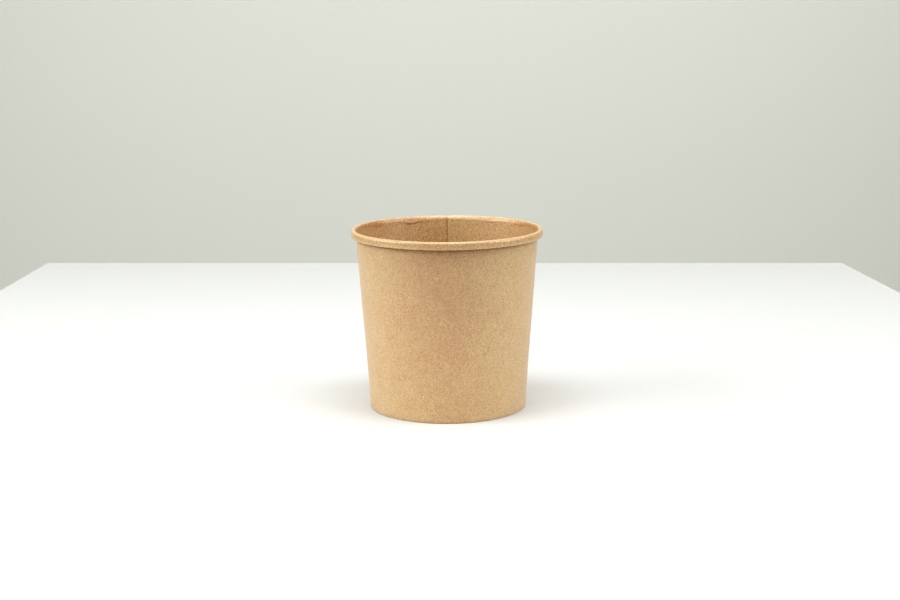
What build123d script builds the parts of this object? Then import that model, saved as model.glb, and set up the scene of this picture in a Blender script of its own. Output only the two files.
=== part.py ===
from build123d import *
import os
from math import atan2, cos, degrees, radians, sin, tan

# Paper soup container: a round tapered tub made from two pieces of kraft board.
# The side wall is one wrapped blank. Its ends lap in a seam, its top edge is rolled outwards
# into a bead and its bottom edge is folded inwards into a hem.
# The bottom is one drawn disc, whose skirt is held between the wall and the hem.
# Millimetres, +Z up, origin at the centre of the ring that the tub stands on, seam at the back (+Y).

# Overall form
height = 110.4
mouth_diameter = 111.0      # outside of the wall, right under the bead
base_diameter = 96.5        # outside of the wall at the table
foot_flare = 0.83           # how far the foot of the wall leans out, less steeply than the rest
foot_margin = 7.6           # the foot goes on this far above the floor
blend_reach = 8.0           # the slow bend between the two tapers reaches this far up and down

# Board
wall_board = 0.45
floor_board = 0.40
seal_film = 0.05            # melted coating between layers that are sealed together

# Rolled rim
bead_height = 4.9
bead_width = 3.0            # from the outside of the wall to the outside of the bead
bead_round = 0.48           # corner radius of the roll, as a share of the width that it turns in
tail_share = 0.35           # part of the bead's height that the rolled edge climbs again inside it
tail_clearance = 0.05       # the tail stays this far off the lapped seam

# Base
floor_level = 9.4           # top of the floor above the table
floor_corner = 1.2          # outside radius where the floor turns down into its skirt
skirt_gap = 0.45            # from the fold at the foot up to the skirt's edge
hem_gap = 1.4               # from the hem's edge up to the floor
fold_inside = 0.05          # inside radius of the pressed fold at the foot

# Lapped side seam
seam_angle = 89.3           # where the inner layer's cut edge stands, in degrees from +X towards +Y
lap_width = 8.0             # how far the outer layer runs on over the inner one
step_width = 10.0           # how far the outer layer takes to step over the inner one
lap_trim = 0.1              # the lap ends this far above the fold at the foot

bead_bottom = height - bead_height
roll_start = height - wall_board - bead_width / 2       # the wall begins to turn outwards above this
foot_height = floor_level + foot_margin
hem_height = floor_level - floor_board - hem_gap
hem_inset = 2 * wall_board + floor_board + 2 * seal_film    # wall, skirt and hem, with film between
fold_radius = wall_board + fold_inside
skirt_end = wall_board + skirt_gap
seam_root = wall_board / 2      # the seam's band and recess are drawn from this far behind the face


def outer_radius(z):
    """Outside radius of the wall at a height: one taper in the foot, a wider one above it."""
    base, mouth = base_diameter / 2, mouth_diameter / 2
    if z <= foot_height:
        return base + foot_flare * z / foot_height
    return base + foot_flare + (mouth - base - foot_flare) * (z - foot_height) / (bead_bottom - foot_height)


def board_section(points, radii, thickness):
    """Section of a bent board from the line of one face. The board lies to the left of the line."""
    corners = [Vector(x, z) for x, z in points]
    runs = [(end - start).normalized() for start, end in zip(corners, corners[1:])]
    sides = [Vector(-run.Y, run.X) for run in runs]
    far = [corners[0] + sides[0] * thickness]
    far_radii = []
    for corner, before, after, radius in zip(corners[1:], sides, sides[1:], radii):
        far.append(corner + (before + after) * (thickness / (1 + before.dot(after))))
        turns_left = before.cross(after).Z > 0
        far_radii.append(radius - thickness if turns_left else radius + thickness)
    far.append(corners[-1] + sides[-1] * thickness)
    edges = [
        FilletPolyline(corners, radius=radii),
        Line(corners[-1], far[-1]),
        FilletPolyline(far, radius=far_radii),
        Line(far[0], corners[0]),
    ]
    return Plane.XZ * make_face(edges)


def rolled_wall():
    """The blank, revolved: hem, pressed fold, foot, wall, and the roll with its tail inside."""
    roll_top = height - wall_board
    roll_bottom = bead_bottom + wall_board
    roll_out = mouth_diameter / 2 + bead_width - wall_board
    roll_root = outer_radius(roll_top)
    tail_top = bead_bottom + tail_share * bead_height
    tail_radius = outer_radius(tail_top) + wall_board + tail_clearance + wall_board
    top_turn = bead_round * (roll_out - roll_root)
    bottom_turn = bead_round * (roll_out - tail_radius)
    foot_lean = atan2(foot_flare, foot_height)
    wall_lean = atan2(roll_root - outer_radius(foot_height), roll_top - foot_height)
    foot_blend = blend_reach / tan(abs(wall_lean - foot_lean) / 2)
    points = [
        (outer_radius(hem_height) - hem_inset, hem_height),
        (outer_radius(0) - hem_inset, 0),
        (outer_radius(0), 0),
        (outer_radius(foot_height), foot_height),
        (roll_root, roll_top),
        (roll_out, roll_top),
        (roll_out, roll_bottom),
        (tail_radius, roll_bottom),
        (tail_radius, tail_top),
    ]
    radii = [fold_radius, fold_radius, foot_blend, top_turn, top_turn, bottom_turn, bottom_turn]
    return revolve(board_section(points, radii, wall_board), Axis.Z)


def at(radius, angle, z):
    """A point given by its radius, its angle in degrees and its height."""
    return Vector(radius * cos(radians(angle)), radius * sin(radians(angle)), z)


def seam_slice(z, face, rise, run_on):
    """Slice of the seam on a wall face: it ramps out by the rise up to the cut edge, then runs on."""
    root, crest = face - seam_root, face + rise
    ramp_start = seam_angle + degrees(step_width / face)
    run_end = seam_angle - degrees(run_on / face)
    edges = [
        ThreePointArc(
            at(root, ramp_start, z),
            at((root + crest) / 2, (ramp_start + seam_angle) / 2, z),
            at(crest, seam_angle, z),
        ),
        Line(at(crest, run_end, z), at(root, run_end, z)),
        ThreePointArc(
            at(root, run_end, z), at(root, (run_end + ramp_start) / 2, z), at(root, ramp_start, z)
        ),
    ]
    if run_on > 0:
        edges.append(
            ThreePointArc(
                at(crest, seam_angle, z),
                at(crest, (seam_angle + run_end) / 2, z),
                at(crest, run_end, z),
            )
        )
    return make_face(edges)


def outer_lap():
    """The outer layer at the back: it steps out over the inner one, and runs on up inside the bead."""
    levels = [fold_radius + lap_trim, foot_height, roll_start]
    return loft([seam_slice(z, outer_radius(z), wall_board, lap_width) for z in levels], ruled=True)


def inner_step():
    """The recess inside, beside the inner layer's cut edge. The roll presses it flush at the rim."""
    rises = {floor_level: wall_board, foot_height: wall_board, bead_bottom: wall_board, roll_start: 0}
    slices = [seam_slice(z, outer_radius(z) - wall_board, rise, 0) for z, rise in rises.items()]
    return loft(slices, ruled=True)


def side_wall():
    return rolled_wall() + outer_lap() - inner_step()


def bottom_disc():
    """The floor, with its edge turned down into a skirt that follows the wall."""
    inset = wall_board + seal_film
    points = [
        (outer_radius(skirt_end) - inset, skirt_end),
        (outer_radius(floor_level) - inset, floor_level),
        (0, floor_level),
    ]
    return revolve(board_section(points, [floor_corner], floor_board), Axis.Z)


os.makedirs("parts", exist_ok=True)
export_step(side_wall(), "parts/side_wall.step")
export_step(bottom_disc(), "parts/bottom_disc.step")
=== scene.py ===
import math
from types import SimpleNamespace
import bpy
import numpy as np
from mathutils import Euler, Matrix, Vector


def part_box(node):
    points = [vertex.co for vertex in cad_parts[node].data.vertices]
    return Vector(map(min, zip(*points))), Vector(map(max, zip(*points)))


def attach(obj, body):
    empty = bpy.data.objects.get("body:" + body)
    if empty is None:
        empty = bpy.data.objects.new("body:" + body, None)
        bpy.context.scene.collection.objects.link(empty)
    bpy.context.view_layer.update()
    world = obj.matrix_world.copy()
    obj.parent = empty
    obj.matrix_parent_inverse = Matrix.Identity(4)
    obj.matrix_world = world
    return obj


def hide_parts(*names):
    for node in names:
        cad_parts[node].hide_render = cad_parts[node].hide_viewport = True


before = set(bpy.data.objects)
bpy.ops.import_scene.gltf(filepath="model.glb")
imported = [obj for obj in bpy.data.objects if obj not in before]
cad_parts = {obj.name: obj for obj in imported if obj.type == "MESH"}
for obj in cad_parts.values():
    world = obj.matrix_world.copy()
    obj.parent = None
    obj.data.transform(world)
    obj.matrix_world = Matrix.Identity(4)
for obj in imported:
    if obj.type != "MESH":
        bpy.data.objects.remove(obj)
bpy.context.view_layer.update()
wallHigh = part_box("side_wall")[1]
floorLow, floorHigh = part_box("bottom_disc")
print("frame loaded: tub", round(wallHigh.z * 1000, 1), "mm high")

mm = 0.001          # shapes are worked out in millimetres, meshes are in metres
sharpFrom = 40      # an edge is drawn sharp from this many degrees between its faces


# paths and meshes

def roundedPath(corners, radii, shares, arcStep=11):
    # A line through the corners, where an arc of its own radius takes the place of each inner corner.
    # Each straight run is cut at its given shares of the way, each arc every arcStep degrees.
    # Gives the points, the unit normal to the right of travel, and the length walked so far.
    corners = np.array(corners, float)
    runs = np.diff(corners, axis=0)
    lengths = np.hypot(*runs.T)
    ways = runs / lengths[:, None]
    headings = np.unwrap(np.arctan2(ways[:, 1], ways[:, 0]))
    turns = np.diff(headings)
    cuts = np.concatenate([[0], np.array(radii) * np.abs(np.tan(turns / 2)), [0]])
    points, angles = [], []
    for i, heading in enumerate(headings):
        along = cuts[i] + shares[i] * (lengths[i] - cuts[i + 1] - cuts[i])
        points.append(corners[i] + ways[i] * along[:, None])
        angles.append(np.full(len(along), heading))
        if i < len(turns):
            count = max(2, round(abs(math.degrees(turns[i])) / arcStep))
            turning = heading + turns[i] * np.arange(1, count) / count
            reach = radii[i] * np.sign(turns[i])
            centre = points[-1][-1] + reach * np.array([-math.sin(heading), math.cos(heading)])
            points.append(centre + reach * np.stack([np.sin(turning), -np.cos(turning)], 1))
            angles.append(turning)
    points, angles = np.concatenate(points), np.concatenate(angles)
    walked = np.concatenate([[0], np.cumsum(np.hypot(*np.diff(points, axis=0).T))])
    return points, np.stack([np.sin(angles), -np.cos(angles)], 1), walked


def evenly(count):
    return np.linspace(0, 1, count + 1)


def inTwo(before, meeting, after):
    # Shares from 0 to 1: so many even steps up to the meeting share, and so many from there.
    first = np.linspace(0, meeting, before, endpoint=False)
    return np.concatenate([first, np.linspace(meeting, 1, after + 1)])


def ease(share):
    # Smooth step: 0 below 0, 1 above 1, and 3s^2 - 2s^3 between.
    share = np.clip(share, 0, 1)
    return share * share * (3 - 2 * share)


def bell(angle, centre, before, after):
    # exp(-(a/width)^2), where a is the angle from the centre, in degrees, the short way round,
    # and the width is one number before the centre and another after it.
    away = (angle - centre + 180) % 360 - 180
    return np.exp(-(away / np.where(away < 0, before, after)) ** 2)


def zones(angle, places):
    # Sum of even bells: each place is an angle and a width in degrees.
    return sum(bell(angle, centre, width, width) for centre, width in places)


def faded(mark, distance):
    # strength * exp(-distance / width)
    return mark[0] * np.exp(-distance / mark[1])


def belled(mark, distance):
    # strength * exp(-(distance / width)^2)
    return mark[0] * np.exp(-(distance / mark[1]) ** 2)


def gridFaces(grid):
    # One quad for each cell of a grid of point numbers.
    return np.stack([grid[:-1, :-1], grid[:-1, 1:], grid[1:, 1:], grid[1:, :-1]], -1).reshape(-1, 4)


def meshPiece(name, points, uv, marks, groups, materials):
    # Puts whole arrays into a mesh: points and UV pairs in millimetres, named marks with a number for
    # each point, then groups of faces with equally many corners, each with the number of its material.
    mesh = bpy.data.meshes.new(name)
    corners = np.concatenate([faces.ravel() for faces, slot in groups]).astype(np.int32)
    sizes = np.concatenate([np.full(len(faces), faces.shape[1]) for faces, slot in groups])
    mesh.vertices.add(len(points))
    mesh.vertices.foreach_set("co", (points * mm).astype(np.float32).ravel())
    mesh.loops.add(len(corners))
    mesh.loops.foreach_set("vertex_index", corners)
    mesh.polygons.add(len(sizes))
    mesh.polygons.foreach_set("loop_start", (np.cumsum(sizes) - sizes).astype(np.int32))
    slots = np.concatenate([np.full(len(faces), slot) for faces, slot in groups])
    mesh.polygons.foreach_set("material_index", slots.astype(np.int32))
    mesh.polygons.foreach_set("use_smooth", np.ones(len(sizes), bool))
    layer = mesh.uv_layers.new(name="blank")
    layer.uv.foreach_set("vector", (uv[corners] * mm).astype(np.float32).ravel())
    for label, values in marks.items():
        mark = mesh.attributes.new(label, "FLOAT", "POINT")
        mark.data.foreach_set("value", values.astype(np.float32).ravel())
    mesh.update(calc_edges=True)
    mesh.set_sharp_from_angle(angle=math.radians(sharpFrom))
    for material in materials:
        mesh.materials.append(material)
    piece = bpy.data.objects.new(name, mesh)
    bpy.context.scene.collection.objects.link(piece)
    return piece


# kraft board

def node(tree, kind, values=(), **settings):
    # Adds a shader node with its settings, and its input values by name or number.
    made = tree.nodes.new(kind)
    for key, value in settings.items():
        setattr(made, key, value)
    for key, value in dict(values).items():
        made.inputs[key].default_value = value
    return made


def feed(tree, socket, value):
    # A socket is linked, and anything else is set as the value.
    if isinstance(value, bpy.types.NodeSocket):
        tree.links.new(value, socket)
    else:
        socket.default_value = value


def noise(tree, place, scale, detail, roughness, distortion):
    made = node(tree, "ShaderNodeTexNoise", {
        "Scale": scale, "Detail": detail, "Roughness": roughness, "Distortion": distortion})
    feed(tree, made.inputs["Vector"], place)
    return made.outputs["Fac"]


def remap(tree, value, low, high, bottom=0.0, top=1.0):
    # Stretches a band of a value onto another range, held at its ends.
    made = node(tree, "ShaderNodeMapRange", {
        "From Min": low, "From Max": high, "To Min": bottom, "To Max": top})
    feed(tree, made.inputs["Value"], value)
    return made.outputs["Result"]


def combine(tree, operation, first, second):
    made = node(tree, "ShaderNodeMath", operation=operation)
    feed(tree, made.inputs[0], first)
    feed(tree, made.inputs[1], second)
    return made.outputs[0]


def tint(tree, share, first, second, way="MIX"):
    # Mixes two colours by a share: the node's inputs 6 and 7 and its output 2 are its colour sockets.
    made = node(tree, "ShaderNodeMix", data_type="RGBA", blend_type=way)
    for socket, value in zip((made.inputs[0], made.inputs[6], made.inputs[7]), (share, first, second)):
        feed(tree, socket, value)
    return made.outputs[2]


def stretch(tree, place, scale, turn):
    made = node(tree, "ShaderNodeMapping", {"Scale": scale, "Rotation": (0, 0, turn)})
    feed(tree, made.inputs["Vector"], place)
    return made.outputs["Vector"]


kraftFaces = {
    # mean colour, strength of grain and fibres, and the shader's own numbers
    "outside": {"tone": (0.577, 0.406, 0.206), "grain": 1.85, "roughness": 0.80, "specular": 0.50,
                "coat": 0.0, "sheen": 0.34, "bump": 0.35},
    "coated": {"tone": (0.552, 0.374, 0.186), "grain": 2.75, "roughness": 0.42, "specular": 0.50,
               "coat": 0.50, "sheen": 0.0, "bump": 0.20},
    "edge": {"tone": (0.660, 0.470, 0.290), "grain": 1.4, "roughness": 0.90, "specular": 0.15,
             "coat": 0.0, "sheen": 0.2, "bump": 0.50},
}

kraftBlend = {
    # share of the mean colour's red, green and blue that a tone of 0 or 1 goes under or over it
    "swing": (0.295, 0.45, 0.62),
    "deepest": -0.30,                   # the tone may go down to this
    # noises: scale, detail, roughness, distortion
    "drift": (40, 3, 0.55, 0),          # slow drift in warmth, about 25 mm across
    "cloud": (130, 3, 0.6, 0),          # formation clouds, 8 mm
    "speckle": (1120, 5, 0.75, 0.3),    # grain, 1 mm and finer
    "fibre": (620, 3, 0.6, 0.6),
    # two sets of fibres: how much their noise is squeezed each way, and how far it is turned, radians
    "fibreWays": (((1, 6, 1), 0.0), ((5, 1, 1), 0.5)),
    # a band of the noise, and the range of tone or warmth that it becomes
    "strandBand": (0.50, 0.78, -0.10, 0.20),
    "driftBand": (0.35, 0.65, -0.2, 0.2),
    "cloudSwing": 0.24,
    "warmth": (0.965, 0.862, 0.868, 1),         # what a warm zone's colour is multiplied by
    "fleckScale": 210,                  # one fleck or none in each cell of 4.8 mm
    "fleckShare": 0.06,                 # share of the cells that have a fleck, of each colour
    "fleckStep": 0.005,                 # over this share more a fleck comes to its full strength
    "fleckRim": (0.10, 0.05),           # how far from its middle a fleck ends, and is full
    # flecks: channel of the cell's own colour that picks them, their colour, how strong it is
    "flecks": (("Red", (0.88, 0.76, 0.58, 1), 0.55), ("Green", (0.22, 0.12, 0.055, 1), 0.5)),
    "relief": 0.08 * mm,
    "fibreRelief": 0.6,                 # height of the fibres against the grain's
    "coatRoughness": 0.34,
    "sheenRoughness": 0.6,
}


def kraftBoard(name, look, blend):
    # Unbleached board: the tone between dark and light is grain + clouds + short fibres that cross
    # in the sheet + the piece's own wear and its painted shade and light. Its warm zones drift slowly,
    # a painted warmer shade colour from the piece adds to them, and pale and deep flecks lie in it.
    material = bpy.data.materials.new(name)
    material.use_nodes = True
    tree = material.node_tree
    tree.nodes.clear()
    place = node(tree, "ShaderNodeTexCoord").outputs["Object"]
    sheet = node(tree, "ShaderNodeUVMap", uv_map="blank").outputs["UV"]

    drift = noise(tree, place, *blend["drift"])
    cloud = noise(tree, place, *blend["cloud"])
    grain = noise(tree, place, *blend["speckle"])
    along, across = [noise(tree, stretch(tree, sheet, *way), *blend["fibre"]) for way in blend["fibreWays"]]
    fibres = combine(tree, "MAXIMUM", along, across)

    clouds = combine(tree, "MULTIPLY", combine(tree, "SUBTRACT", cloud, 0.5), blend["cloudSwing"])
    low, high, bottom, top = blend["strandBand"]
    strands = remap(tree, fibres, low, high, bottom * look["grain"], top * look["grain"])
    speckle = remap(tree, grain, 0, 1, 0.5 - look["grain"] / 2, 0.5 + look["grain"] / 2)
    # the piece's wear together with its painted shade and painted light
    wearAndPaintedLight = node(tree, "ShaderNodeAttribute", attribute_name="wearAndPaintedLight").outputs["Fac"]
    tone = combine(tree, "ADD", combine(tree, "ADD", speckle, clouds), combine(tree, "ADD", strands, wearAndPaintedLight))
    swing, deepest = blend["swing"], blend["deepest"]
    dark = [channel * (1 - share * (1 - 2 * deepest)) for channel, share in zip(look["tone"], swing)] + [1]
    light = [channel * (1 + share) for channel, share in zip(look["tone"], swing)] + [1]
    colour = tint(tree, remap(tree, tone, deepest, 1), dark, light)
    # painted shade colour: the piece's warm zones, added to the slow drift
    warm = node(tree, "ShaderNodeAttribute", attribute_name="warm").outputs["Fac"]
    warm = combine(tree, "ADD", warm, remap(tree, drift, *blend["driftBand"]))
    colour = tint(tree, warm, colour, blend["warmth"], "MULTIPLY")

    cells = node(tree, "ShaderNodeTexVoronoi", {"Scale": blend["fleckScale"]})
    feed(tree, cells.inputs["Vector"], place)
    pick = node(tree, "ShaderNodeSeparateColor")
    feed(tree, pick.inputs["Color"], cells.outputs["Color"])
    spot = remap(tree, cells.outputs["Distance"], *blend["fleckRim"])
    first = 1 - blend["fleckShare"]
    for channel, fleckTone, strength in blend["flecks"]:
        chosen = remap(tree, pick.outputs[channel], first, first + blend["fleckStep"], 0, strength)
        colour = tint(tree, combine(tree, "MULTIPLY", spot, chosen), colour, fleckTone)

    relief = combine(tree, "ADD", grain, combine(tree, "MULTIPLY", fibres, blend["fibreRelief"]))
    bump = node(tree, "ShaderNodeBump", {"Strength": look["bump"], "Distance": blend["relief"]})
    feed(tree, bump.inputs["Height"], relief)
    shader = node(tree, "ShaderNodeBsdfPrincipled", {
        "Roughness": look["roughness"], "Specular IOR Level": look["specular"],
        "Coat Weight": look["coat"], "Coat Roughness": blend["coatRoughness"],
        "Sheen Weight": look["sheen"], "Sheen Roughness": blend["sheenRoughness"]})
    feed(tree, shader.inputs["Base Color"], colour)
    feed(tree, shader.inputs["Normal"], bump.outputs["Normal"])
    surface = node(tree, "ShaderNodeOutputMaterial").inputs["Surface"]
    feed(tree, surface, shader.outputs["BSDF"])
    return material


kraft = {name: kraftBoard("kraft_" + name, look, kraftBlend) for name, look in kraftFaces.items()}
print("kraft board made:", ", ".join(kraft))


# the tub's lines, in millimetres

tub = {
    "rimHeight": wallHigh.z / mm,
    "rimRadius": wallHigh.x / mm,
    "floorLevel": floorHigh.z / mm,
    "baseRadius": 48.25,        # outside of the wall at the table
    "footFlare": 0.83,          # the foot leans out this far
    "footHeight": 17.0,
    "beadWidth": 3.0,           # from the outside of the wall to the outside of the bead
    "beadHeight": 4.9,
    "wallBoard": 0.45,
    "discBoard": 0.40,
    "film": 0.05,               # melted coating between sealed layers
}
tub["beadBottom"] = tub["rimHeight"] - tub["beadHeight"]
tub["footRadius"] = tub["baseRadius"] + tub["footFlare"]
tub["lean"] = ((tub["rimRadius"] - tub["beadWidth"] - tub["footRadius"])
               / (tub["beadBottom"] - tub["footHeight"]))


def wallRadius(z):
    # Outside of the wall: one taper in the foot and a wider one above it.
    if z < tub["footHeight"]:
        return tub["baseRadius"] + tub["footFlare"] * z / tub["footHeight"]
    return tub["footRadius"] + tub["lean"] * (z - tub["footHeight"])


# side wall: one lapped blank with its hem, its roll and the roll's tail

wallShape = {
    "bendReach": 8.0,           # slow bend between foot and wall, up and down from it
    "rollStart": 2.35,          # the wall begins to turn over this far under the rim
    "innerFlat": 1.35,          # 1 makes the roll's inner slope part of an ellipse, more makes it straighter
    "shoulder": 1.80,           # the roll's outer shoulder comes down this far
    "upright": 2.25,            # height of the bead's upright outer face
    "underLift": 0.20,          # the roll's seen underside lies this far above the bead's bottom
    "underFlat": 0.60,          # under 1, the lower corner is squarer than an ellipse
    "crown": 0.50,              # the highest line, as a share of the way across the bead
    "tailStand": 0.50,          # the tail's distance off the wall
    "tailRise": 1.30,           # how far the edge climbs again inside the bead
    "heel": 0.7,                # the tail begins at this share of the way up to the upright face
    "foldRadius": 0.68,
    "tuck": 0.20,               # the fold draws the foot in by this much
    "tuckHeight": 2.5,
    "hemHeight": 7.6,
    "pressTop": 3.0,            # the roll's press starts this far under the rim
    "pressFade": 2.0,           # and is full this far further up
    "footPress": 0.55,          # how hard the foot is pressed above the fold, 0 to 1
    "footFade": 5.0,            # that press dies out over this height above the floor
    "foldFade": 3.0,            # and the fold's own over this height
    # rows: hem, flat of the fold, foot, wall (so many up to this share of it, so many above), and
    # the four quarters of the roll
    "rows": (6, 1, 6, (22, 0.90, 26), (12, 11, 10, 8)),
    # columns: end of each stretch in degrees, and how many: under the lap, plain wall, creased wall
    "columns": ((10, 9), (212, 139), (332, 121)),
}

seam = {
    "angle": 89.3,              # the inner layer's cut edge, from +X towards +Y
    "lap": 8.0,
    "step": 4.5,                # the outer layer steps out over this width
    "settle": 5.0,              # the inner layer thickens again beyond the lap
    "pressed": 0.5,             # share of each layer that the press takes
    "filmLeft": 0.2,            # share of the film between the layers that the press leaves
    "columns": (11, 21, 8),     # before the step, on it, and on the lap
    # how much paler or deeper the board is, and over what distance in mm that fades
    "outerEnd": (-0.030, 150.0),
    "innerEnd": (0.07, 45.0),
    "stepShade": (-0.22, 1.1),       # painted shade in the recess beside the cut edge, where the inner layer's step shades it
}

creases = {
    "slant": 0.22,              # how far the wall leans in above a crease, for each mm of depth
    "nip": 0.65,                # share of the dent that ends right under the crease
    "nipFade": 0.45,            # over about this height, mm
    "fade": 3.0,                # the rest dies out over this height
    # angle, width before and after it in degrees, depth under the roll in mm
    "places": (
        (116.0, 8.6, 3.8, 1.55),
        (143.0, 5.0, 4.5, 0.9),
        (62.0, 7.0, 5.0, 0.6),
        (33.0, 8.0, 8.0, 0.5),
    ),
}

waves = {
    # size in mm, lobes round the tub, start in radians, twist in radians for each mm of height
    "wall": ((0.050, 3, 0.7, 0.010), (0.035, 5, 2.1, -0.016), (0.028, 9, 4.0, 0.024)),
    "underBead": (12, 10),      # from this far under the bead, and over this height, they only lean inwards
    "aboveFloor": 12,           # they grow over this height above the floor
    "rim": ((2, 1.0), (5, 0.0)),    # lobes and start of the rim's dips
    "rimDip": 0.10,             # the rim's top sinks by up to this there, mm
    "seamDip": (0.22, 30),      # and by this much more at the seam, over this angle to each side
    "dipBand": (60, 45),        # the dips start at this height and are full this far above it
}

knurl = {                       # ribs pressed round the hem's inner face
    "ribs": 96,
    "depth": 0.09,
    "plain": (0.6, 0.8),        # left plain at the fold and at the hem's edge, and grown over as much
}

wallWearAndPaintedLight = {
    # how much paler or deeper the board is made, by wear and by painted shade and light, and over what
    # distance in mm that fades
    "crown": (0.25, 1.8),       # stretched over the rim, and a painted highlight where the crown faces the lights above
    "bounceLight": (0.33, 0.8),         # painted light: the bead's lower corner is paler, as if lit by the table below
    "bounceLightWidth": 1.0,            # as far in as this
    "root": (-0.85, 1.2),       # painted shade in the crevice under the bead
    # darker in a thin line along the foot's bottom edge
    "foot": (-0.05, 0.6),
    # painted shade in the line under a crease
    "crease": (-0.42, 0.45),
    "flapShade": (-0.20, 1.2),       # painted shade on the strip between the roll and a crease, growing over this distance from the rim
    # painted shade inside at the sides, where less light reaches, most of all on the roll's inner slope:
    # strength, share that goes on down the wall, then angle and width in degrees
    "sideShade": (-0.50, 0.24, ((160, 38), (8, 26))),
    "slope": (0.3, 0.9, 2.0, 1.5),      # band of that painted shade: starts under the rim, grows over, ends after, fades over, mm
    # painted shade colour: warmer, redder zones where the wall takes less light, most of all at -94°, the
    # front between the side lights: angle and width in degrees
    "warm": ((-94, 29), (35, 28), (150, 24)),
    "warmFoot": (0.4, 65),      # share that is left at the foot, and the height where all of it is there
    "warmInside": 0.2,          # share that shows inside
}


def arcAcross(start, end, rise, drift, count, flat=1.0):
    # A quarter of |x / a|^(2 / flat) + |y / b|^(2 / flat) = 1 from one point to another: upright at the
    # start and level at the end if rise is True, and the other way round if not. It is an ellipse if
    # flat is 1. Drift leans the upright end. Leaves out the start.
    (startOut, startUp), (endOut, endUp) = start, end
    turn = np.arange(1, count + 1) / count * math.pi / 2
    first, second = np.sin(turn) ** flat, 1 - np.clip(np.cos(turn), 0, 1) ** flat
    if rise:
        up = startUp + (endUp - startUp) * first
        out = startOut + drift * (up - startUp) + (endOut - startOut - drift * (endUp - startUp)) * second
    else:
        out = startOut + (endOut - startOut) * first
        up = startUp + (endUp - startUp) * second
    return np.stack([out, up], 1)


def blankLine(shape):
    # The blank's outside face as a line of radius and height: down the hem, round the fold,
    # up the foot and wall, over the roll and up its tail.
    board = tub["wallBoard"]
    hemRows, foldRows, footRows, wallRows, rollRows = shape["rows"]
    hemInset = 2 * board + tub["discBoard"] + 2 * tub["film"]
    bend = abs(math.atan(tub["lean"]) - math.atan(tub["footFlare"] / tub["footHeight"]))
    rollStart = tub["rimHeight"] - shape["rollStart"]
    corners = [
        (wallRadius(shape["hemHeight"]) - hemInset, shape["hemHeight"]),
        (wallRadius(0) - hemInset, 0),
        (wallRadius(0), 0),
        (wallRadius(tub["footHeight"]), tub["footHeight"]),
        (wallRadius(rollStart), rollStart),
    ]
    radii = [shape["foldRadius"], shape["foldRadius"], shape["bendReach"] / math.tan(bend / 2)]
    shares = [evenly(hemRows), evenly(foldRows), evenly(footRows), inTwo(*wallRows)]
    line, normal, walked = roundedPath(corners, radii, shares)

    # the roll's seen face: up the inside, over the crown, down the outer shoulder and under
    root = line[-1] - board * normal[-1]
    crown = (root[0] + shape["crown"] * (tub["rimRadius"] - root[0]), tub["rimHeight"])
    shoulder = (tub["rimRadius"], tub["rimHeight"] - shape["shoulder"])
    waist = (tub["rimRadius"], shoulder[1] - shape["upright"])
    tailOut = wallRadius(tub["beadBottom"]) + shape["tailStand"]
    sole = tub["beadBottom"] + shape["underLift"]
    under = ((tub["rimRadius"] + tailOut) / 2, sole)
    heel = (tailOut, sole + shape["heel"] * (waist[1] - sole))
    seen = np.concatenate([
        [root],
        arcAcross(root, crown, True, tub["lean"], rollRows[0], shape["innerFlat"]),
        arcAcross(crown, shoulder, False, 0, rollRows[1]),
        [waist],
        arcAcross(waist, under, True, 0, rollRows[2], shape["underFlat"]),
        arcAcross(under, heel, False, 0, rollRows[3]),
        [(tailOut + tub["lean"] * shape["tailRise"], heel[1] + shape["tailRise"])],
    ])
    way = np.gradient(seen, axis=0)
    way[0] = (math.sin(math.atan(tub["lean"])), math.cos(math.atan(tub["lean"])))
    way /= np.hypot(*way.T)[:, None]
    rollNormal = np.stack([way[:, 1], -way[:, 0]], 1)
    line = np.concatenate([line, (seen + board * rollNormal)[1:]])
    normal = np.concatenate([normal, rollNormal[1:]])
    walked = np.concatenate([walked, walked[-1] + np.cumsum(np.hypot(*np.diff(seen, axis=0).T))])
    return line, normal, walked


def wallSheet(shape, lapped):
    # The blank as a grid. A row is a point of its section line. A column is a turn from the inner
    # layer's cut edge, once round the tub, and then a way straight on over the lap.
    line, normal, walked = blankLine(shape)
    radius, z, walked = line[:, :1], line[:, 1:], walked[:, None]
    beforeStep, onStep, onLap = lapped["columns"]
    stepAngle = 360 - math.degrees(lapped["step"] / radius.min())
    start, turns = 0, []
    for end, count in (*shape["columns"], (stepAngle, beforeStep), (360, onStep)):
        turns.append(np.linspace(start, end, count, endpoint=False))
        start = end
    turn = np.concatenate([*turns, np.full(onLap + 1, 360.0)])
    overlap = np.concatenate([np.zeros(len(turn) - onLap), np.linspace(0, lapped["lap"], onLap + 1)[1:]])
    angle = lapped["angle"] - turn - np.degrees(overlap / radius)
    crest, sole = walked[z.argmax()], walked[z.argmin()]
    return SimpleNamespace(
        radius=radius, z=z, normalOut=normal[:, :1], normalUp=normal[:, 1:],
        angle=angle, spin=np.radians(angle),
        # ways along the sheet: from its inner cut edge, and to where it laps over that edge
        around=np.radians(turn) * radius + overlap,
        toLap=np.radians(360 - turn) * radius,
        # ways down the sheet
        walked=walked, fromCrest=walked - crest, belowRim=tub["rimHeight"] - z,
        isLap=overlap > 0, isHem=walked < sole, isRoll=walked > crest,
        isWall=(walked <= crest) & (walked >= sole))


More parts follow.
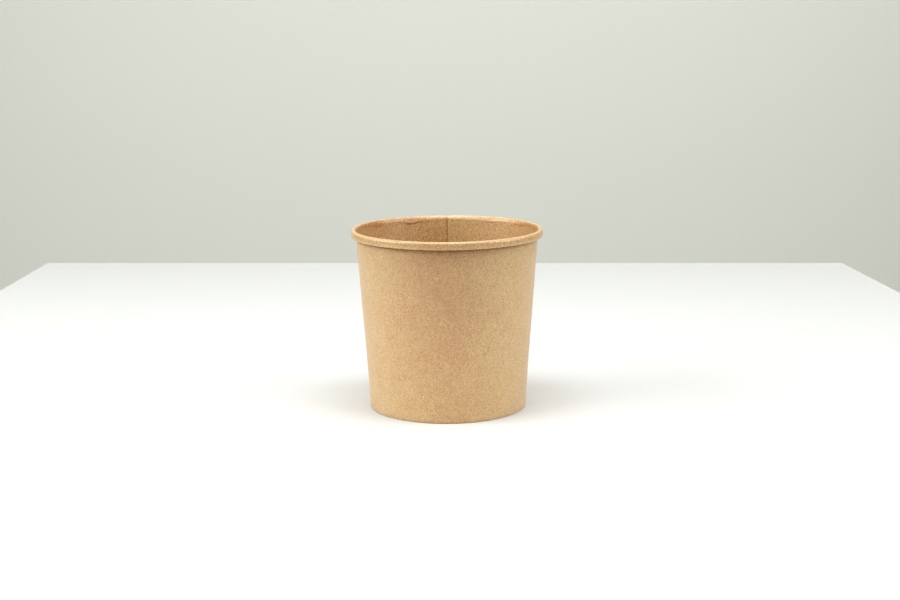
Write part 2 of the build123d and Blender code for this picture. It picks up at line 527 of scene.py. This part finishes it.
def layers(sheet, shape, lapped):
    # Where the sheet's inner and outer face stand, as offsets from its section line. They lie between
    # -board and 0, and rise by a board and a film where the outer layer steps over the inner one.
    # Both layers get thinner where the rim and the foot are pressed.
    board, film = tub["wallBoard"], tub["film"]
    atRim = ease((shape["pressTop"] - sheet.belowRim) / shape["pressFade"])
    atFoot = shape["footPress"] * (1 - ease((sheet.z - tub["floorLevel"]) / shape["footFade"]))
    atFold = (1 - shape["footPress"]) * (1 - ease(sheet.z / shape["foldFade"]))
    press = np.where(sheet.isWall, np.maximum(atRim, atFoot + atFold), 1)
    thin = press * (lapped["pressed"] * board + lapped["filmLeft"] * film / 2)
    under = 1 - ease((sheet.around - lapped["lap"]) / lapped["settle"])
    over = ease(1 - sheet.toLap / lapped["step"])
    inner = -board + over * (board - thin + film * (1 - press * (1 - lapped["filmLeft"])))
    return inner, inner + board - thin * (under + over)


def unevenness(sheet, uneven, shape, seamAngle):
    # Outwards: sum of size * sin(lobes * angle + start + twist * height), only inwards at the rim,
    # less the fold's tuck. Upwards: rimDip * half the mean of sin(lobes * angle + start) - 1, less a
    # bell at the seam.
    z, spin = sheet.z, sheet.spin
    below, height = uneven["underBead"]
    nearRim = ease((z - tub["beadBottom"] + below) / height)
    ripple = sum(size * (np.sin(lobes * spin + start + twist * z) - nearRim)
                 for size, lobes, start, twist in uneven["wall"])
    ripple = ripple * ease((z - tub["floorLevel"]) / uneven["aboveFloor"])
    ripple = ripple - shape["tuck"] * np.clip(1 - z / shape["tuckHeight"], 0, 1) ** 2
    dips = [np.sin(lobes * spin + start) - 1 for lobes, start in uneven["rim"]]
    dip = uneven["rimDip"] * sum(dips) / (2 * len(dips))
    seamDip, width = uneven["seamDip"]
    start, height = uneven["dipBand"]
    dip = (dip - seamDip * bell(sheet.angle, seamAngle, width, width)) * ease((z - start) / height)
    return ripple, dip


def creased(sheet, dents, rollStart):
    # Moves inwards: slant * way down from the roll as far as the crease, dying out under it.
    # Gives these, the crease's depth at each angle, and the way down from the roll.
    reach = sum(depth * bell(sheet.angle, centre, before, after)
                for centre, before, after, depth in dents["places"])
    down = sheet.belowRim - rollStart
    past = np.maximum(down - reach, 0)
    nip = dents["nip"]
    left = nip * np.exp(-past / dents["nipFade"]) + (1 - nip) * np.exp(-past / dents["fade"])
    lean = dents["slant"] * np.where(down < reach, np.maximum(down, 0), reach * left)
    return lean * ~sheet.isRoll, reach, down


def wallMarks(sheet, shape, lapped, wornAndPainted, reach, down):
    # Wear and painted shade and light, outside and inside: strengths that fade with the distance from where
    # the board was worked and from the crevices, creases and corners where shade and light are painted.
    # Warmth, a painted shade colour: bells round the warm zones' angles, weaker towards the foot and inside.
    radius, z, belowRim = sheet.radius, sheet.z, sheet.belowRim
    both = faded(lapped["outerEnd"], sheet.toLap) + faded(lapped["innerEnd"], sheet.around)
    # paler over the crown: stretched board, and a painted highlight
    both = both + belled(wornAndPainted["crown"], sheet.fromCrest)
    # painted light on the bead's lower corner, as if lit by the table below
    cornerDepth = shape["shoulder"] + shape["upright"] + wornAndPainted["bounceLight"][1] / 2
    isBounceLit = sheet.isRoll * (radius > tub["rimRadius"] - wornAndPainted["bounceLightWidth"])
    both = both + belled(wornAndPainted["bounceLight"], cornerDepth - belowRim) * isBounceLit
    # darker in a thin line along the bottom edge
    outside = both + faded(wornAndPainted["foot"], z)
    # painted shade in the crevice under the bead
    outside = outside + sheet.isWall * faded(wornAndPainted["root"], np.maximum(tub["beadBottom"] - z, 0))

    # painted shade in the recess beside the inner layer's cut edge
    inside = both + belled(lapped["stepShade"], sheet.toLap) * ~sheet.isLap * ~sheet.isHem
    # painted shade under each crease and on the strip between it and the roll
    flapShade, growth = wornAndPainted["flapShade"]
    creaseShade = belled(wornAndPainted["crease"], down - reach - wornAndPainted["crease"][1])
    creaseShade = creaseShade + flapShade * (down < reach) * ease(belowRim / growth)
    inside = inside + sheet.isWall * np.clip(reach, 0, 1) * creaseShade
    # painted shade inside at the sides, most of all on the roll's inner slope
    strength, onWall, sides = wornAndPainted["sideShade"]
    start, growth, end, fade = wornAndPainted["slope"]
    slope = onWall + (1 - onWall) * (1 - ease((belowRim - end) / fade))
    slope = slope * ease((belowRim - start) / growth)
    inside = inside + sheet.isWall * strength * slope * zones(sheet.angle, sides)

    # painted shade colour, weaker towards the brighter foot
    atFoot, height = wornAndPainted["warmFoot"]
    warm = zones(sheet.angle, wornAndPainted["warm"]) * (atFoot + (1 - atFoot) * ease(z / height))
    return {
        "wearAndPaintedLight": np.concatenate([outside, inside]),
        "warm": np.concatenate([warm, wornAndPainted["warmInside"] * warm]),
    }


def sideWall(shape, lapped, dents, uneven, ribs, wornAndPainted):
    # Point(row, column) = line point + normal * offset, turned round the axis by the column's angle,
    # and moved by the ripples, the creases and the dips.
    sheet = wallSheet(shape, lapped)
    inner, outer = layers(sheet, shape, lapped)
    ripple, dip = unevenness(sheet, uneven, shape, lapped["angle"])
    lean, reach, down = creased(sheet, dents, shape["rollStart"])
    plainFoot, plainTop = ribs["plain"]
    rib = ribs["depth"] * (0.5 - 0.5 * np.cos(ribs["ribs"] * sheet.spin)) * sheet.isHem
    rib = rib * ease((shape["hemHeight"] - sheet.z) / plainTop - 1) * ease(sheet.z / plainFoot - 1)

    def face(offset):
        out = sheet.radius + sheet.normalOut * offset + ripple - lean
        high = sheet.z + sheet.normalUp * offset + dip
        return np.stack([out * np.cos(sheet.spin), out * np.sin(sheet.spin), high], -1).reshape(-1, 3)

    count = sheet.angle.size
    grid = np.arange(count).reshape(sheet.angle.shape)

    def strip(edge):
        # closes a cut edge, from the outside face over to the inside face
        return np.stack([edge[:-1], edge[1:], edge[1:] + count, edge[:-1] + count], -1)

    groups = [
        (gridFaces(grid)[:, ::-1], 0),
        (gridFaces(grid) + count, 1),
        (strip(grid[0]), 2),
        (strip(grid[-1, ::-1]), 2),
        (strip(grid[::-1, 0]), 2),
        (strip(grid[:, -1]), 2),
    ]
    points = np.concatenate([face(outer - rib), face(inner)])
    blank = np.stack([sheet.around, np.broadcast_to(sheet.walked, grid.shape)], -1).reshape(-1, 2)
    marks = wallMarks(sheet, shape, lapped, wornAndPainted, reach, down)
    return meshPiece("kraft_wall", points, np.concatenate([blank, blank]), marks, groups,
                     [kraft["outside"], kraft["coated"], kraft["edge"]])


wall = sideWall(wallShape, seam, creases, waves, knurl, wallWearAndPaintedLight)
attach(wall, "root")
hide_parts("side_wall")
print("side wall made:", len(wall.data.polygons), "faces")


# floor: one drawn disc with its skirt

floorShape = {
    "skirtEnd": floorLow.z / mm,
    "corner": 1.2,              # outside radius where the floor turns down
    "cornerStep": 9,            # degrees from row to row in it
    "sag": 0.30,                # the middle hangs this far under the corner
    "pleats": 108,
    "pleatDepth": 0.05,
    "pleatReach": 4.0,          # the drawn edge's pleats run this far in from the corner
    "pleatLobes": ((7, 1.0), (17, 0.0)),    # lobes and start of the pleats' uneven depth
    "cornerTone": -0.12,        # the drawn corner is this much deeper in tone
    "segments": 432,
    "skirtRows": 6,
    "floorRows": (8, 0.12, 15),     # how many in the floor's outer share, the share, and how many inside
}


def floorDisc(shape):
    # Section line carried round the axis: up the skirt, round the corner and in to the middle.
    # Height drops by sag * (1 - (r / R)^2)^2, and radial pleats fade inwards from the corner.
    inset = tub["wallBoard"] + tub["film"]
    high, segments = tub["floorLevel"], shape["segments"]
    corners = [
        (wallRadius(shape["skirtEnd"]) - inset, shape["skirtEnd"]),
        (wallRadius(high) - inset, high),
        (0, high),
    ]
    shares = [evenly(shape["skirtRows"]), inTwo(*shape["floorRows"])]
    line, normal = roundedPath(corners, [shape["corner"]], shares, shape["cornerStep"])[:2]
    line, normal = line[:-1], normal[:-1]       # without the middle, which is one point
    spin = np.arange(segments) * 2 * math.pi / segments
    flatRadius = corners[1][0] - shape["corner"]
    inwards = np.clip(flatRadius - line[:, :1], 0, None)
    sag = shape["sag"] * (1 - np.clip(line[:, :1] / flatRadius, 0, 1) ** 2) ** 2
    lobed = [np.sin(lobes * spin + start) for lobes, start in shape["pleatLobes"]]
    uneven = 0.5 + 0.5 * sum(lobed) / len(lobed)
    flat = np.clip(normal[:, 1:], 0, 1)
    pleat = shape["pleatDepth"] * uneven * (np.cos(shape["pleats"] * spin) - 1)
    pleat = pleat * flat * np.exp(-(inwards / shape["pleatReach"]) ** 2)

    def face(offset):
        out = line[:, :1] + normal[:, :1] * offset + 0 * spin
        up = line[:, 1:] + normal[:, 1:] * offset - sag + pleat
        return np.stack([out * np.cos(spin), out * np.sin(spin), up], -1).reshape(-1, 3)

    count = len(line) * segments
    ring = np.arange(count).reshape(-1, segments)
    ring = np.concatenate([ring, ring[:, :1]], 1)
    middle = high - shape["sag"]
    middles = [(0, 0, middle), (0, 0, middle - tub["discBoard"])]
    points = np.concatenate([face(0), face(-tub["discBoard"]), middles])
    edge, last = ring[0], ring[-1]
    top, bottom = np.full(segments, 2 * count), np.full(segments, 2 * count + 1)
    groups = [
        (gridFaces(ring), 0),
        (gridFaces(ring)[:, ::-1] + count, 1),
        (np.stack([last[:-1], last[1:], top], -1), 0),
        (np.stack([last[1:] + count, last[:-1] + count, bottom], -1), 1),
        (np.stack([edge[1:], edge[:-1], edge[:-1] + count, edge[1:] + count], -1), 2),
    ]
    worked = (shape["cornerTone"] * np.exp(-inwards / shape["pleatReach"]) + 0 * spin).ravel()
    marks = {"wearAndPaintedLight": np.concatenate([worked, worked, [0, 0]]), "warm": np.zeros(len(points))}
    return meshPiece("kraft_floor", points, points[:, :2], marks, groups,
                     [kraft["coated"], kraft["outside"], kraft["edge"]])


floor = floorDisc(floorShape)
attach(floor, "root")
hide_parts("bottom_disc")
print("floor made:", len(floor.data.polygons), "faces")


# table and backdrop

studio = {
    "table": ((-0.418, -0.46), (0.440, -0.46), (0.375, 0.508), (-0.390, 0.542)),
    "tableThick": 0.03,
    "tableTone": (0.635, 0.640, 0.627, 1),
    "tableRoughness": 0.6,
    "room": 4.0,                # half the width of the ground and the backdrop
    "sheetThick": 0.02,         # thickness of both
    "sheetRoughness": 0.9,
    "groundLevel": -0.75,
    "groundTone": (0.30, 0.30, 0.29, 1),
    "backdropAway": 1.5,
    "backdropTop": 2.2,
    "backdropTone": (0.97, 0.985, 0.90, 1),
    "worldTone": (0.86, 0.88, 0.86, 1),
    "worldStrength": 0.12,
    "specular": 0.2,
}


def plainMaterial(name, tone, roughness, specular):
    material = bpy.data.materials.new(name)
    material.use_nodes = True
    shader = material.node_tree.nodes["Principled BSDF"]
    shader.inputs["Base Color"].default_value = tone
    shader.inputs["Roughness"].default_value = roughness
    shader.inputs["Specular IOR Level"].default_value = specular
    return material


def slab(name, outline, low, high, material):
    # An upright block over a four-cornered outline, given anticlockwise as seen from above.
    points = [(x, y, z) for z in (low, high) for x, y in outline]
    faces = [(3, 2, 1, 0), (4, 5, 6, 7)] + [(i, (i + 1) % 4, (i + 1) % 4 + 4, i + 4) for i in range(4)]
    mesh = bpy.data.meshes.new(name)
    mesh.from_pydata(points, [], faces)
    mesh.materials.append(material)
    piece = bpy.data.objects.new(name, mesh)
    bpy.context.scene.collection.objects.link(piece)


def acrossRoom(room, near, far):
    # Outline of a rectangle as wide as the room, from near to far.
    return (-room, near), (room, near), (room, far), (-room, far)


def setStudio(look):
    rough, specular = look["sheetRoughness"], look["specular"]
    tableWhite = plainMaterial("table_white", look["tableTone"], look["tableRoughness"], specular)
    backdropGrey = plainMaterial("backdrop_grey", look["backdropTone"], rough, specular)
    groundGrey = plainMaterial("ground_grey", look["groundTone"], rough, specular)
    ground, away, room, thick = look["groundLevel"], look["backdropAway"], look["room"], look["sheetThick"]
    slab("table", look["table"], -look["tableThick"], 0, tableWhite)
    slab("ground", acrossRoom(room, -room, room), ground - thick, ground, groundGrey)
    slab("backdrop", acrossRoom(room, away, away + thick), ground, look["backdropTop"], backdropGrey)
    world = bpy.data.worlds.new("studio")
    world.use_nodes = True
    background = world.node_tree.nodes["Background"]
    background.inputs["Color"].default_value = look["worldTone"]
    background.inputs["Strength"].default_value = look["worldStrength"]
    bpy.context.scene.world = world


setStudio(studio)


# soft lights

softLights = {
    # place, point it faces, width and height in m, power in W
    "left": ((-1.25, -0.43, 0.75), (0, 0, 0.06), 1.2, 0.9, 16.9),
    "leftRear": ((-1.30, 0.10, 0.75), (0, 0, 0.06), 1.0, 0.9, 4.8),
    "right": ((1.25, -0.43, 0.75), (0, 0, 0.06), 1.2, 0.9, 12.6),
    "rightRear": ((1.30, 0.10, 0.75), (0, 0, 0.06), 1.0, 0.9, 3.3),
    "overhead": ((0, -0.25, 1.25), (0, 0, 0.05), 0.8, 0.5, 6.0),
    "overheadNear": ((0, -0.15, 0.75), (0, -0.1, 0.0), 0.7, 0.45, 2.6),
    "front": ((0, -0.75, 0.95), (0, 0, 0.05), 0.9, 0.4, 0.7),
    "lowFill": ((0, -0.13, 0.012), (0, 0, 0.012), 0.20, 0.016, 0.017),
    "rear": ((0, 0.45, 1.05), (0, 0, 0.05), 0.9, 0.4, 2.4),
    "backdropWash": ((0.40, 0.85, 1.4), (0.40, 1.5, 0.4), 1.4, 0.4, 3.4),
}


def aimed(place, target):
    # Turns -Z from the place to the target, with +Y up.
    way = np.array(target, float) - np.array(place, float)
    flat = math.hypot(way[0], way[1])
    return (math.atan2(flat, -way[2]), 0, math.atan2(way[1], way[0]) - math.pi / 2)


def setLights(lights):
    for name, (place, target, width, height, power) in lights.items():
        data = bpy.data.lights.new(name, "AREA")
        data.shape = "RECTANGLE"
        data.size, data.size_y = width, height
        data.energy = power
        light = bpy.data.objects.new(name, data)
        light.location = place
        light.rotation_euler = aimed(place, target)
        light.visible_camera = False
        bpy.context.scene.collection.objects.link(light)


setLights(softLights)
print("studio made:", len(softLights), "soft lights")


# camera, solved from the outlines in the photograph

photoView = {
    "place": (0.00165, -0.9179, 0.2436),
    "down": 10.98,              # degrees under the horizon
    "roll": -0.43,
    "lens": 60.76,
    "sensor": 36,
    "nearest": 0.02,
    "contrast": 0.87,           # under 1 the picture's middle tones go deeper
}


def setCamera(view):
    data = bpy.data.cameras.new("photo_camera")
    data.lens = view["lens"]
    data.sensor_width = view["sensor"]
    data.clip_start = view["nearest"]
    camera = bpy.data.objects.new("photo_camera", data)
    camera.location = view["place"]
    aim = Euler((math.radians(90 - view["down"]), 0, 0)).to_matrix()
    camera.rotation_euler = (aim @ Matrix.Rotation(math.radians(view["roll"]), 3, "Z")).to_euler()
    bpy.context.scene.collection.objects.link(camera)
    bpy.context.scene.camera = camera
    bpy.context.scene.view_settings.view_transform = "Standard"
    bpy.context.scene.view_settings.gamma = view["contrast"]


setCamera(photoView)
